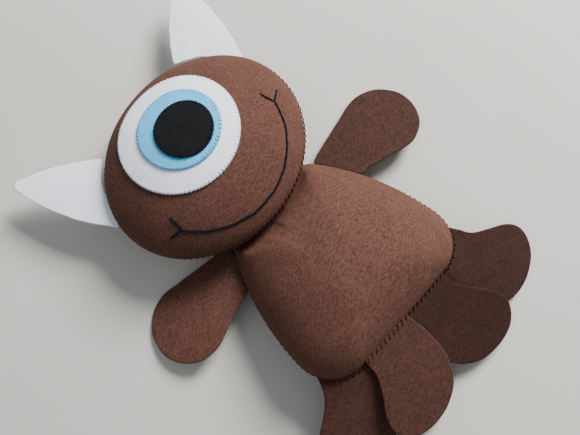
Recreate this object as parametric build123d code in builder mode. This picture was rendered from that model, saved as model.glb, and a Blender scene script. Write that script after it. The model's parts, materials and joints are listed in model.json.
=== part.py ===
"""A one-eyed felt hand puppet, lying on its back with its face up.

+Z points out of the face, +Y from the feet to the head, and left and right are as seen when facing the
puppet, so left is -X.  The origin is on the flat back, below the middle of the body.  Every flat piece is
cut from one thickness of craft felt.  The padded front of the body closes over a lining, and the hand goes
in from the hem, between that lining and the back panel.
"""

import os
from math import asin, cos, degrees, radians, sin, sqrt, tan

from build123d import *

# ---- felt, thread and clearances --------------------------------------------------------------------
FELT = 1.4  # thickness of the craft felt
THREAD = 1.0  # how far a row of whip stitches stands out of a seam
SURFACE_THREAD = 0.5  # height of stitches that lie on a face
FACE_GAP = 0.1  # between pieces that are sewn down on each other
HINGE_GAP = 0.9  # between a seam and the root of a limb that flaps on it
NECK_GAP = 2.4  # between the body and the head, where the neck stitches pull them together
TURN_GAP = 1.8  # between the padded body and head when the head is turned as far as it goes

# ---- body -------------------------------------------------------------------------------------------
HEM_Y = -55.0  # front hem, where the feet are sewn in
NECK_Y = 57.0  # top edge of the body, hidden behind the chin
HEM_HALF = 62.0  # half width of the body at the hem, before its corners are rounded
NECK_HALF = 34.0  # half width at the top edge, before its corners are rounded
SIDE_BOW = 10.5  # how far the sides bulge out of the straight
HEM_BOW = 1.5
HEM_CORNER_R = 26.0
NECK_CORNER_R = 16.0
SEAM_STITCH_TOP_Y = 38.0  # the side seams are stitched from the hem to just under the chin
SEAM_STITCH_SPLIT_Y = -40.0  # where the side seams end and the hem over the feet begins
SEAM_Z = 20.5  # height of the body's seam above the table, at Y = 0
BODY_TILT = 10.0  # the seam drops towards the neck
BELLY_Y = -18.0  # where the padding is deepest
BELLY_HEIGHT = 31.0  # above the seam
BACK_SHARE = 0.8  # width of the flat back, as a share of the body
BACK_MID_SHARE = 0.96  # and of the back half way up to the seam
ENTRY_HALF = 46.0  # half width of the hand entry

# ---- head -------------------------------------------------------------------------------------------
HEAD_X = -6.0
HEAD_Y = 103.0
HEAD_HALF_WIDTH = 69.6
HEAD_HALF_HEIGHT = 60.8
HEAD_LEAN = 8.0  # the head leans to the left as it lies
HEAD_PITCH = 5.0  # the chin rides up on the body
FACE_HEIGHT = 30.0  # padding in front of the head's seam
BACK_DEPTH = 26.0  # padding behind it
FLOOR_GAP = 0.4  # the back of the head rests this little above the plane of the flat back

# ---- neck joints ------------------------------------------------------------------------------------
NECK_PIVOT = (0.0, 57.0, 12.0)
NOD_DOWN = 5.0  # degrees, chin into the chest
TILT_EACH_WAY = 8.0
NECK_STITCHES = 5
NECK_STITCH_PITCH = 3.5
NECK_STITCH_SIZE = (1.2, 2.4)
NECK_STITCH_LOW = 0.9  # gap from the head to its neck stitches
NECK_STITCH_HIGH = 1.7

# ---- eye, on the head's own plane -------------------------------------------------------------------
EYE_CENTRE = (-2.0, 12.0)
EYE_R = 37.8
IRIS_CENTRE = (-0.2, 11.1)
IRIS_R = 25.5
PUPIL_CENTRE = (0.8, 7.4)
PUPIL_R = 17.8
STITCH_BITE = 1.8  # how far a whip stitch reaches in from the edge of its disc

# ---- mouth ------------------------------------------------------------------------------------------
MOUTH_HALF = 47.5
MOUTH_CORNER_Y = -23.0
MOUTH_EDGE = 7.3  # from the lowest point of the smile down to the seam of the head
MOUTH_FORK = 9.5  # length of the two short strokes at each corner
MOUTH_THREAD = 1.5

# ---- horns ------------------------------------------------------------------------------------------
HORN_LENGTH = 61.0  # from the head's seam to the tip
HORN_HALF = 22.5
HORN_BOW = 5.5  # how far its edges bulge out of the straight
HORN_TIP_R = 3.5
HORN_PLACE = 39.0  # degrees round the head's seam from its X axis
HORN_LEAN = {"left": 29.5, "right": 34.5}  # degrees away from the head's Y axis

# ---- arms -------------------------------------------------------------------------------------------
ARM_ROOT = 33.0
ARM_REACH = 39.5  # from the body's seam to the middle of the round lobe
ARM_LOBE_R = 25.5
ARM_PLACE_Y = {"left": 39.0, "right": 36.0}  # where its root is on the body's side
ARM_SWEEP = {"left": 18.5, "right": 18.5}  # how far the lobe is swept towards the feet
ARM_DROOP = 12.5  # degrees below the seam

# ---- feet -------------------------------------------------------------------------------------------
FOOT_LENGTH = 60.0
FOOT_ANKLE = 37.0
FOOT_TOE = 36.0  # reach of the toe from the ankle's middle line
SOLE_GAP = 1.0  # from the table up to the middle of the lowest sole's felt
INNER_FOOT_X = 18.0
OUTER_FOOT_SPLAY = 24.0  # the outer feet turn out round the corner of the hem
LEFT_FOOT_RISE = 1.5  # how far above the seam the left inner foot is sewn in
LAP_GAP = 0.35  # between it and the right inner foot that it lies on, straight down
SPLAY_GAP = 4.05  # between an inner foot and the outer one under it, which closes up towards the toes

ROOT_TUCK = 9.0  # how far a limb's pattern runs in under the seam before it is trimmed to it
TALL = 200.0  # past the whole puppet, for cutting

# ---- planes -----------------------------------------------------------------------------------------
body_plane = Plane(
    origin=(0, 0, SEAM_Z), x_dir=(1, 0, 0), z_dir=(0, sin(radians(BODY_TILT)), cos(radians(BODY_TILT)))
)
head_drop = sqrt(
    (BACK_DEPTH * cos(radians(HEAD_PITCH))) ** 2 + (HEAD_HALF_HEIGHT * sin(radians(HEAD_PITCH))) ** 2
)
head_plane = Plane(
    Location((HEAD_X, HEAD_Y, head_drop + FLOOR_GAP))
    * Location((0, 0, 0), (0, 0, HEAD_LEAN))
    * Location((0, 0, 0), (-HEAD_PITCH, 0, 0))
)
nod_axis = Axis(NECK_PIVOT, (1, 0, 0))
tilt_axis = Axis(NECK_PIVOT, head_plane.z_dir)

# a padded dome in steps, as (share of the outline, share of the height)
DOME_ANGLES = (0, 15, 30, 45, 60, 74, 84)
DOME_STEPS = [(cos(radians(a)), sin(radians(a)) ** 1.15) for a in DOME_ANGLES]

# the head at rest, and where it presses the body most: (degrees of nod, degrees of tilt, gap)
HEAD_POSES = (
    (0, 0, NECK_GAP),
    (NOD_DOWN, TILT_EACH_WAY, TURN_GAP),
    (NOD_DOWN, -TILT_EACH_WAY, TURN_GAP),
)

side_middle = ((HEM_HALF + NECK_HALF) / 2 + SIDE_BOW, (HEM_Y + NECK_Y) / 2)
side_curve = ThreePointArc((HEM_HALF, HEM_Y), side_middle, (NECK_HALF, NECK_Y))

parts = []


def keep(piece, label):
    """Labels a finished piece and puts it on the list to be written."""
    piece.label = label
    parts.append(piece)
    return piece


def seam_z(y):
    """Height of the body's seam above the table."""
    return SEAM_Z - y * tan(radians(BODY_TILT))


def side_x(y):
    """Half width of the body's seam at a place on its side."""
    centre = side_curve.arc_center
    return centre.X + sqrt(side_curve.radius**2 - (y - centre.Y) ** 2)


# ---- outlines ---------------------------------------------------------------------------------------
def body_outline(share=1.0, grow=0.0):
    """The body's outline, shrunk about the middle of the belly and grown by a margin."""

    def place(x, y):
        return (x * share, BELLY_Y + (y - BELLY_Y) * share)

    hem_left, hem_right = place(-HEM_HALF, HEM_Y), place(HEM_HALF, HEM_Y)
    neck_left, neck_right = place(-NECK_HALF, NECK_Y), place(NECK_HALF, NECK_Y)
    with BuildSketch() as outline:
        with BuildLine():
            ThreePointArc(hem_left, place(0, HEM_Y - HEM_BOW), hem_right)
            ThreePointArc(hem_right, place(*side_middle), neck_right)
            ThreePointArc(neck_right, place(0, NECK_Y + HEM_BOW), neck_left)
            ThreePointArc(neck_left, place(-side_middle[0], side_middle[1]), hem_left)
        make_face()
        fillet(outline.vertices().group_by(Axis.Y)[0], HEM_CORNER_R * share)
        fillet(outline.vertices().group_by(Axis.Y)[-1], NECK_CORNER_R * share)
        if grow:
            offset(amount=grow)
    return outline.sketch


def disc(centre, radius):
    """A round patch on the head's plane."""
    with BuildSketch() as patch:
        with Locations(centre):
            Circle(radius)
    return patch.sketch


def stitch_ring(centre, radius):
    """The band of stitches just inside the edge of a round patch."""
    with BuildSketch() as ring:
        with Locations(centre):
            Circle(radius - FACE_GAP)
            Circle(radius - STITCH_BITE, mode=Mode.SUBTRACT)
    return ring.sketch


def mouth_strokes():
    """The smile and the fork at each of its corners, as strokes one thread wide."""
    left, right = (-MOUTH_HALF, MOUTH_CORNER_Y), (MOUTH_HALF, MOUTH_CORNER_Y)
    with BuildSketch() as strokes:
        with BuildLine():
            ThreePointArc(left, (0, MOUTH_EDGE - HEAD_HALF_HEIGHT), right)
            for corner, out in ((left, -1), (right, 1)):
                Line(corner, (corner[0] - out * 1.5, corner[1] + MOUTH_FORK))
                Line(corner, (corner[0] + out * MOUTH_FORK * 0.85, corner[1] + MOUTH_FORK * 0.45))
        for stroke in strokes.pending_edges:
            trace(stroke, MOUTH_THREAD)
    return strokes.sketch


def horn_outline():
    """A leaf with a rounded tip; its root is at the origin and it points along Y."""
    root = -ROOT_TUCK
    half_way = (HORN_LENGTH + root) / 2
    tip_y = HORN_LENGTH - HORN_TIP_R
    with BuildSketch() as outline:
        with BuildLine():
            Line((-HORN_HALF, root), (HORN_HALF, root))
            ThreePointArc((HORN_HALF, root), (HORN_HALF / 2 + HORN_BOW, half_way), (HORN_TIP_R, tip_y))
            ThreePointArc((HORN_TIP_R, tip_y), (0, HORN_LENGTH), (-HORN_TIP_R, tip_y))
            ThreePointArc((-HORN_TIP_R, tip_y), (-HORN_HALF / 2 - HORN_BOW, half_way), (-HORN_HALF, root))
        make_face()
    return outline.sketch


def arm_outline(sweep):
    """A teardrop: a round lobe drawn together to its root; sweep is how far the lobe is off to -X."""
    with BuildSketch() as outline:
        with BuildLine():
            Line((-ARM_ROOT / 2, 0), (ARM_ROOT / 2, 0))
            CenterArc((-sweep, ARM_REACH), ARM_LOBE_R, 0, 360)
        make_hull()
    return outline.sketch


def foot_outline():
    """A boot: ankle at the origin, sole away along Y, and the toe out to +X."""
    half = FOOT_ANKLE / 2
    with BuildSketch() as outline:
        with BuildLine():
            boot = Spline(
                (-half, -ROOT_TUCK),
                (-half * 1.17, FOOT_LENGTH * 0.30),
                (-half * 0.95, FOOT_LENGTH * 0.68),
                (-half * 0.25, FOOT_LENGTH * 0.93),
                (FOOT_TOE * 0.40, FOOT_LENGTH),
                (FOOT_TOE * 0.84, FOOT_LENGTH * 0.90),
                (FOOT_TOE, FOOT_LENGTH * 0.68),
                (FOOT_TOE * 0.86, FOOT_LENGTH * 0.46),
                (half * 1.20, FOOT_LENGTH * 0.24),
                (half, -ROOT_TUCK),
            )
            Line(boot @ 1, boot @ 0)
        make_face()
    return outline.sketch


# ---- padded shapes ----------------------------------------------------------------------------------
def body_dome(grow=0.0):
    """The body's padded front as a solid, grown or shrunk all round."""
    with BuildPart() as dome:
        for share, rise in DOME_STEPS:
            with BuildSketch(body_plane.offset((BELLY_HEIGHT + grow) * rise)):
                add(body_outline(share, grow * share))
        loft()
    return dome.part


def head_dome(height, grow=0.0, side=1):
    """One half of the padded head as a solid; side is 1 for the face and -1 for the back."""
    with BuildPart() as dome:
        for share, rise in DOME_STEPS:
            with BuildSketch(head_plane.offset(side * (height + grow) * rise)):
                Ellipse((HEAD_HALF_WIDTH + grow) * share, (HEAD_HALF_HEIGHT + grow) * share)
        loft()
    return dome.part


def head_rooms(grow=0.0):
    """The spaces that the head needs in the body, one solid for each half of it and each pose."""
    rooms = []
    for nod, tilt, gap in HEAD_POSES:
        for height, side in ((FACE_HEIGHT, 1), (BACK_DEPTH, -1)):
            half = head_dome(height, gap + grow, side)
            rooms.append(half.rotate(tilt_axis, tilt).rotate(nod_axis, nod))
    return rooms


def back_hollow(grow=0.0, floor=0.0):
    """The space between the body's seam and the table, with its bottom at a height."""
    top = body_plane.offset(-FELT - 2 * FACE_GAP)
    middle = Plane(origin=(0, 0, (top.origin.Z + floor) / 2), x_dir=(1, 0, 0), z_dir=top.z_dir + (0, 0, 1))
    with BuildPart() as hollow:
        for plane, share in (
            (Plane.XY.offset(floor), BACK_SHARE),
            (middle, BACK_MID_SHARE),
            (top, 1.0),
        ):
            with BuildSketch(plane):
                add(body_outline(share, grow))
        loft()
    return hollow.part


def seam_prism(grow):
    """Everything inside the body's seam, grown by a margin."""
    with BuildPart() as prism:
        with BuildSketch(body_plane):
            add(body_outline(1.0, grow))
        extrude(amount=TALL, both=True)
    return prism.part


def face_layer(sketch, low, thickness):
    """A layer that follows the face: the stretch of it inside a sketch, between two heights over the felt."""
    with BuildPart() as layer:
        add(head_dome(FACE_HEIGHT, low + thickness))
        with BuildSketch(head_plane):
            add(sketch)
        extrude(amount=TALL, mode=Mode.INTERSECT)
        add(head_dome(FACE_HEIGHT, low), mode=Mode.SUBTRACT)
    return layer.part


# ---- the body ---------------------------------------------------------------------------------------
rooms = head_rooms()

with BuildPart() as padding_space:
    add(body_dome(-FELT))
    for room in head_rooms(FELT):
        add(room, mode=Mode.SUBTRACT)

with BuildPart() as body_front_panel:
    add(body_dome())
    for room in rooms:
        add(room, mode=Mode.SUBTRACT)
    add(padding_space.part, mode=Mode.SUBTRACT)
keep(body_front_panel.part, "body_front_panel")

with BuildPart() as body_stuffing:
    add(body_dome(-FELT - FACE_GAP))
    for room in head_rooms(FELT + FACE_GAP):
        add(room, mode=Mode.SUBTRACT)
keep(body_stuffing.part, "body_stuffing")

with BuildPart() as pocket_lining:
    with BuildSketch(body_plane.offset(-FACE_GAP)):
        add(body_outline())
    extrude(amount=-FELT)
    for room in rooms:
        add(room, mode=Mode.SUBTRACT)
keep(pocket_lining.part, "pocket_lining")

with BuildPart() as body_back_panel:
    add(back_hollow())
    add(back_hollow(-FELT, FELT), mode=Mode.SUBTRACT)
    with BuildSketch(Plane.XY.offset(FELT)):
        with Locations((0, HEM_Y)):
            Rectangle(ENTRY_HALF * 2, (HEM_CORNER_R - FELT) * 2)
    extrude(amount=TALL, mode=Mode.SUBTRACT)
    for room in rooms:
        add(room, mode=Mode.SUBTRACT)
keep(body_back_panel.part, "body_back_panel")

# the row of whip stitches outside the body's seam: the sides, and the hem over the feet
for label, low_y, high_y in (
    ("side_seam_stitching", SEAM_STITCH_SPLIT_Y, SEAM_STITCH_TOP_Y),
    ("front_hem_stitching", -TALL, SEAM_STITCH_SPLIT_Y - FACE_GAP),
):
    with BuildPart() as stitching:
        with BuildSketch(body_plane):
            add(body_outline(1.0, FACE_GAP + THREAD))
            add(body_outline(1.0, FACE_GAP), mode=Mode.SUBTRACT)
            with Locations((0, (low_y + high_y) / 2)):
                Rectangle(TALL, high_y - low_y, mode=Mode.INTERSECT)
        extrude(amount=FELT + FACE_GAP, both=True)
    keep(stitching.part, label)

# ---- the neck ---------------------------------------------------------------------------------------
with BuildPart() as neck_stitches:
    add(head_dome(BACK_DEPTH, NECK_STITCH_HIGH, -1))
    add(head_dome(BACK_DEPTH, NECK_STITCH_LOW, -1), mode=Mode.SUBTRACT)
    with BuildSketch(Plane.XY):
        with Locations((NECK_PIVOT[0], NECK_PIVOT[1])):
            with GridLocations(NECK_STITCH_PITCH, 1, NECK_STITCHES, 1):
                Rectangle(*NECK_STITCH_SIZE)
    extrude(amount=head_plane.origin.Z, mode=Mode.INTERSECT)
keep(neck_stitches.part, "neck_stitches")

# ---- the head ---------------------------------------------------------------------------------------
for label, height, side in (
    ("head_front_panel", FACE_HEIGHT, 1),
    ("head_back_panel", BACK_DEPTH, -1),
):
    with BuildPart() as panel:
        add(head_dome(height, 0, side))
        add(head_dome(height, -FELT, side), mode=Mode.SUBTRACT)
    keep(panel.part, label)

with BuildPart() as head_stuffing:
    add(head_dome(FACE_HEIGHT, -FELT - FACE_GAP, 1))
    add(head_dome(BACK_DEPTH, -FELT - FACE_GAP, -1))
keep(head_stuffing.part, "head_stuffing")

with BuildPart() as head_seam_stitching:
    with BuildSketch(head_plane):
        for grow, mode in ((FACE_GAP + THREAD, Mode.ADD), (FACE_GAP, Mode.SUBTRACT)):
            Ellipse(HEAD_HALF_WIDTH + grow, HEAD_HALF_HEIGHT + grow, mode=mode)
    extrude(amount=FELT + FACE_GAP, both=True)
keep(head_seam_stitching.part, "head_seam_stitching")

# ---- the eye, three discs of felt, each sewn down round its edge --------------------------------------
level = FACE_GAP
for label, centre, radius in (
    ("eye_white", EYE_CENTRE, EYE_R),
    ("eye_iris", IRIS_CENTRE, IRIS_R),
    ("eye_pupil", PUPIL_CENTRE, PUPIL_R),
):
    keep(face_layer(disc(centre, radius), level, FELT), label)
    level += FELT + FACE_GAP
    keep(face_layer(stitch_ring(centre, radius), level, SURFACE_THREAD), label + "_stitches")

keep(face_layer(mouth_strokes(), FACE_GAP, SURFACE_THREAD), "mouth_embroidery")

# ---- horns, arms and feet, each a single thickness of felt -------------------------------------------
with BuildPart() as head_prism:
    with BuildSketch(head_plane):
        seam_room = FACE_GAP + THREAD + HINGE_GAP
        Ellipse(HEAD_HALF_WIDTH + seam_room, HEAD_HALF_HEIGHT + seam_room)
    extrude(amount=TALL, both=True)
body_prism = seam_prism(seam_room)


def limb(outline, plane, label, prism=None):
    """A flat piece of felt on its own plane, trimmed clear of the curved seam that it is sewn into."""
    with BuildPart() as piece:
        with BuildSketch(plane):
            add(outline)
        extrude(amount=FELT / 2, both=True)
        if prism:
            add(prism, mode=Mode.SUBTRACT)
    keep(piece.part, label)
    hinge = plane.x_dir
    print(f"{label:20s} hinge at {tuple(round(v, 2) for v in plane.origin)} along "
          f"{tuple(round(v, 4) for v in hinge)}")


for side, hand in (("left", -1), ("right", 1)):
    # the horn's plane is the head's, turned about its normal so that Y points along the horn
    root = Vector(
        hand * HEAD_HALF_WIDTH * cos(radians(HORN_PLACE)), HEAD_HALF_HEIGHT * sin(radians(HORN_PLACE)), 0
    )
    horn_plane = Plane(head_plane.location * Location(root, (0, 0, -hand * HORN_LEAN[side])))
    limb(horn_outline(), horn_plane, side + "_horn", head_prism.part)

# between the ends of an arm's straight root the body's side bulges a little
side_bulge = side_curve.radius - sqrt(side_curve.radius**2 - (ARM_ROOT / 2) ** 2)
for side, hand in (("left", -1), ("right", 1)):
    # the arm's X axis runs up the body's seam, and its Y axis out of it and down
    y = ARM_PLACE_Y[side]
    low, high = y - ARM_ROOT / 2, y + ARM_ROOT / 2
    up_seam = Vector(hand * (side_x(high) - side_x(low)), high - low, seam_z(high) - seam_z(low)).normalized()
    level_out = Vector(hand * up_seam.Y, -hand * up_seam.X, 0).normalized()
    out = level_out * cos(radians(ARM_DROOP)) - Vector(0, 0, sin(radians(ARM_DROOP)))
    root = Vector(hand * side_x(y), y, seam_z(y)) + out * (seam_room + side_bulge)
    arm_plane = Plane(origin=root, x_dir=up_seam, z_dir=up_seam.cross(out))
    limb(arm_outline(ARM_SWEEP[side]), arm_plane, side + "_arm")

# a foot's X axis runs along the hem to its toe, and its Y axis out of the hem and down
corner_y = HEM_Y + HEM_CORNER_R
corner_x = side_x(corner_y) - HEM_CORNER_R
# each foot is sewn in a step below the one that lies on it, and the lowest one reaches down to the table
inner_drop = {"left": -LEFT_FOOT_RISE, "right": FELT + LAP_GAP - LEFT_FOOT_RISE}
lowest_root = seam_z(HEM_Y) - inner_drop["right"] - FELT - SPLAY_GAP
foot_droop = degrees(asin((lowest_root - SOLE_GAP) / FOOT_LENGTH))
for side, hand in (("left", -1), ("right", 1)):
    for row, splay, centre, drop in (
        ("inner", 0.0, (INNER_FOOT_X, HEM_Y - HEM_BOW), inner_drop[side]),
        (
            "outer",
            OUTER_FOOT_SPLAY,
            (
                corner_x + HEM_CORNER_R * sin(radians(OUTER_FOOT_SPLAY)),
                corner_y - HEM_CORNER_R * cos(radians(OUTER_FOOT_SPLAY)),
            ),
            inner_drop[side] + FELT + SPLAY_GAP,
        ),
    ):
        to_toe = Vector(hand * cos(radians(splay)), sin(radians(splay)), 0)
        level_out = Vector(hand * sin(radians(splay)), -cos(radians(splay)), 0)
        out = level_out * cos(radians(foot_droop)) - Vector(0, 0, sin(radians(foot_droop)))
        root = Vector(hand * centre[0], centre[1], seam_z(HEM_Y) - drop) + level_out * seam_room
        foot_plane = Plane(origin=root, x_dir=to_toe, z_dir=to_toe.cross(out))
        limb(foot_outline(), foot_plane, f"{side}_{row}_foot", body_prism)

os.makedirs("parts", exist_ok=True)
for piece in parts:
    export_step(piece, f"parts/{piece.label}.step")
print(f"head plane at {head_plane.origin}, normal {head_plane.z_dir}")
print(f"{len(parts)} parts written")
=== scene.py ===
# %% [markdown]
# # A one-eyed felt hand puppet
#
# The puppet is sewn from craft felt. Its head and the front of its body are stuffed, everything else
# is a single thickness of felt, and all of it is held by rows of whip stitches. The sizes come from
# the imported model, which says where each piece is and how it moves. What is left to do here is what
# a maker would call finish: full, slightly puckered padding, cut felt edges, thread, and colour.

# %% Load the frame
import json
import math
import random

import bpy
import numpy as np
from mathutils import Matrix, Vector
from mathutils.bvhtree import BVHTree


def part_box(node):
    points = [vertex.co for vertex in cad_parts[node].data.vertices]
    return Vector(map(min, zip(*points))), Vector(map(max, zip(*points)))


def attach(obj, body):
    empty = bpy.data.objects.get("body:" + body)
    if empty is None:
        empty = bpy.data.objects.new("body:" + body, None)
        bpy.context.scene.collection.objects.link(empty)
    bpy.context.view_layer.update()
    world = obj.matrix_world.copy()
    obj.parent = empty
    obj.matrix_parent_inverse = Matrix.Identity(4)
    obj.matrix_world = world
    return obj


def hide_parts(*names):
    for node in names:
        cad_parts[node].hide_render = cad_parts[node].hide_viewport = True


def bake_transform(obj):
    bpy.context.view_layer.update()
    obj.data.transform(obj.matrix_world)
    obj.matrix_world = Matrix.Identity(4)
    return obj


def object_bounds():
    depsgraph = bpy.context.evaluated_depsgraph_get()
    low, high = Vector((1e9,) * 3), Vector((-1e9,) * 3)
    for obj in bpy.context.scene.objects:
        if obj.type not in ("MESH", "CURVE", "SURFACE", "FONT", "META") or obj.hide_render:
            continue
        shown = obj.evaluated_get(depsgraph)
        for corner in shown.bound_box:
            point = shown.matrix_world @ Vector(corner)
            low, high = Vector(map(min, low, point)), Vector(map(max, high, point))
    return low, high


MM = 0.001
FULL_TURN = 2 * math.pi
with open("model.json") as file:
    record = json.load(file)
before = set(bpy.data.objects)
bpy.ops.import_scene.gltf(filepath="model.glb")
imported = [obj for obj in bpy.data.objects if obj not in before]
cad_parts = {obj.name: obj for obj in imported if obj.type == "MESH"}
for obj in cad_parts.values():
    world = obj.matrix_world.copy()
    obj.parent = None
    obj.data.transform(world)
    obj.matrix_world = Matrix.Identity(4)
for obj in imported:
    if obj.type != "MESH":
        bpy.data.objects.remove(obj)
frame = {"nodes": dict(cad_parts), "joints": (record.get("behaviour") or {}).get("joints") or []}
cad_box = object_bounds()
joints = {joint["name"]: joint for joint in frame["joints"]}

# %% [markdown]
# ## Two places to build on
#
# The head and the body are both padded pieces that close on a flat seam, and each seam lies in its own
# tilted plane. Working in a plane's own coordinates keeps every later step simple, so a small class
# turns plane coordinates (right, up, out) into places in the frame and back.

# %% Planes
FELT = 1.4 * MM  # thickness of the felt
HEAD_LEAN = math.radians(8.0)  # the head leans to the left as it lies
BODY_TILT = math.radians(10.0)  # the body's seam drops towards the neck
BODY_SEAM_Z = 20.5 * MM


class Bench:
    """A plane to work on: a place, a direction to the right, and a direction out."""

    def __init__(self, origin, right, out):
        self.origin = np.array(origin, float)
        self.out = np.array(out, float) / np.linalg.norm(out)
        right = np.array(right, float) - np.dot(right, self.out) * self.out
        self.right = right / np.linalg.norm(right)
        self.up = np.cross(self.out, self.right)
        self.axes = np.array([self.right, self.up, self.out])

    def place(self, points):
        """From (right, up, out) to the frame."""
        return self.origin + np.asarray(points, float) @ self.axes

    def read(self, points):
        """From the frame to (right, up, out)."""
        return (np.asarray(points, float) - self.origin) @ self.axes.T


def node_points(node):
    """The corners of a CAD node's mesh, in the frame."""
    mesh = frame["nodes"][node].data
    points = np.empty(len(mesh.vertices) * 3)
    mesh.vertices.foreach_get("co", points)
    return points.reshape(-1, 3)


low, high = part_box("head_seam_stitching")
head_bench = Bench(
    (np.array(low) + np.array(high)) / 2,
    (math.cos(HEAD_LEAN), math.sin(HEAD_LEAN), 0),
    joints["head_tilt"]["axis"],
)
body_bench = Bench((0, 0, BODY_SEAM_Z), (1, 0, 0), (0, math.sin(BODY_TILT), math.cos(BODY_TILT)))
print("the head's seam is centred on", np.round(head_bench.origin / MM, 1), "mm")

# %% [markdown]
# ## Outlines
#
# A pattern piece is an outline. The flat CAD nodes have all their corners on their outlines, so an
# outline can be read from a node: its corners are sorted by their direction from a centre, and then
# the line through them is walked in equal steps. Equal steps matter, because stitches are spaced by
# length along the edge, and a mesh whose columns follow the same steps can pucker at each stitch.


# %% Outline helpers
def even_steps(points, count):
    """A closed line walked in equal steps from its first point."""
    line = np.vstack([points, points[:1]])
    run = np.concatenate([[0], np.cumsum(np.linalg.norm(np.diff(line, axis=0), axis=1))])
    at = np.linspace(0, run[-1], count, endpoint=False)
    return np.column_stack([np.interp(at, run, line[:, k]) for k in range(2)])


def sorted_round(points, centre):
    """Points of an outline in order of their direction from a centre, starting from the right."""
    angle = np.arctan2(points[:, 1] - centre[1], points[:, 0] - centre[0]) % FULL_TURN
    order = np.argsort(angle)
    keep = np.concatenate([[True], np.diff(angle[order]) > 1e-4])
    return points[order][keep]


def length_of(outline):
    """The length round a closed outline."""
    return float(np.linalg.norm(outline - np.roll(outline, -1, axis=0), axis=1).sum())


def area_of(outline):
    """The area inside a closed outline."""
    x, y = outline[:, 0], outline[:, 1]
    return abs(float((x * np.roll(y, -1) - y * np.roll(x, -1)).sum())) / 2


HEAD_HALF = np.array([69.6, 60.8]) * MM
SEAM_STITCH = 3.7 * MM  # pitch of the whip stitches on the seams
turn = np.linspace(0, FULL_TURN, 2000, endpoint=False)
head_outline = np.column_stack([HEAD_HALF[0] * np.cos(turn), HEAD_HALF[1] * np.sin(turn)])
HEAD_STITCHES = round(length_of(head_outline) / SEAM_STITCH)
BELLY = np.array([0.0, -18.0 * MM])  # the deepest place of the body's padding
body_outline = sorted_round(body_bench.read(node_points("pocket_lining"))[:, :2], BELLY)
BODY_STITCHES = round(length_of(body_outline) / SEAM_STITCH)
print(HEAD_STITCHES, "stitches round the head and", BODY_STITCHES, "round the body")

# %% [markdown]
# ## A disc of rings
#
# Every pattern piece here starts as the same thing: a circle that is extruded inwards ring by ring
# and closed in the middle. Its columns run from the edge to the middle and its rings follow the edge,
# so it can be spread over any outline and domed or draped without a triangle out of place.


# %% Ringed disc
def deselect():
    """Leaves edit mode and selects nothing."""
    if bpy.context.object and bpy.context.object.mode != "OBJECT":
        bpy.ops.object.mode_set(mode="OBJECT")
    bpy.ops.object.select_all(action="DESELECT")


def pick(piece):
    """Selects one piece and makes it the active one."""
    deselect()
    piece.select_set(True)
    bpy.context.view_layer.objects.active = piece


def use(piece, kind, **settings):
    """Adds a modifier with its settings and applies it at once."""
    pick(piece)
    modifier = piece.modifiers.new(kind.title(), kind)
    for name, value in settings.items():
        setattr(modifier, name, value)
    bpy.ops.object.modifier_apply(modifier=modifier.name)


def ringed_disc(name, around, shares):
    """A flat disc of radius 1 with rings at the given shares of its radius, closed in the middle."""
    deselect()
    bpy.ops.mesh.primitive_circle_add(vertices=around, radius=1.0, fill_type="NOTHING")
    piece = bpy.context.object
    piece.name = name
    bpy.ops.transform.rotate(value=math.pi / 2, orient_axis="Z", center_override=(0, 0, 0))
    bpy.ops.object.transform_apply(rotation=True)
    bpy.ops.object.mode_set(mode="EDIT")
    bpy.ops.mesh.select_all(action="SELECT")
    last = 1.0
    for share in shares:
        bpy.ops.mesh.extrude_region_move()
        bpy.ops.transform.resize(value=(share / last,) * 3, center_override=(0, 0, 0))
        last = share
    bpy.ops.mesh.extrude_region_move()
    bpy.ops.mesh.merge(type="CENTER")
    bpy.ops.mesh.select_all(action="SELECT")
    bpy.ops.mesh.normals_make_consistent(inside=False)
    bpy.ops.object.mode_set(mode="OBJECT")
    bpy.ops.object.shade_smooth()
    return piece


# %% [markdown]
# A disc knows how far round and how far out each of its corners is. That says where the corner goes when
# the disc is spread over a pattern's outline, and which corners are on the cut edge, where the felt's
# thickness is rounded off.

# %% Spread and thicken
AT_EDGE = 0.9999  # a share of the radius past which a corner counts as being on the edge


def points_of(piece):
    """The corners of a piece's mesh as an array."""
    points = np.empty(len(piece.data.vertices) * 3)
    piece.data.vertices.foreach_get("co", points)
    return points.reshape(-1, 3)


def move_points(piece, points):
    """Puts every corner of a piece's mesh in its new place."""
    piece.data.vertices.foreach_set("co", np.asarray(points, np.float32).ravel())
    piece.data.update()


def on_disc(piece):
    """How far round and how far out each corner of a ringed disc is, both from 0 to 1."""
    flat = points_of(piece)
    out = np.linalg.norm(flat[:, :2], axis=1)
    turn = (np.arctan2(flat[:, 1], flat[:, 0]) / FULL_TURN) % 1.0
    return turn, out


def spread(piece, outline, centre):
    """Where each corner of a ringed disc goes on an outline, as (right, up), and how far out it is."""
    turn, out = on_disc(piece)
    around = int((out > AT_EDGE).sum())
    edge = even_steps(outline, around)
    column = np.rint(turn * around).astype(int) % around
    return centre + out[:, None] * (edge[column] - centre), out


def face_up(piece, out):
    """Turns a piece's faces so that most of them look the given way."""
    mesh = piece.data
    normals = np.empty(len(mesh.polygons) * 3)
    mesh.polygons.foreach_get("normal", normals)
    if (normals.reshape(-1, 3) @ np.asarray(out)).sum() < 0:
        mesh.flip_normals()


def thicken(piece, out, thickness, offset, rim=0):
    """Gives a ringed disc its thickness, with an edge that is rounded off where it was cut."""
    group = piece.vertex_groups.new(name="full")
    group.add([int(k) for k in np.flatnonzero(out < AT_EDGE)], 1.0, "REPLACE")
    group.add([int(k) for k in np.flatnonzero(out >= AT_EDGE)], 0.5, "REPLACE")
    use(piece, "SOLIDIFY", thickness=thickness, offset=offset, vertex_group="full",
        material_offset_rim=rim)
    piece.vertex_groups.clear()


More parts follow.
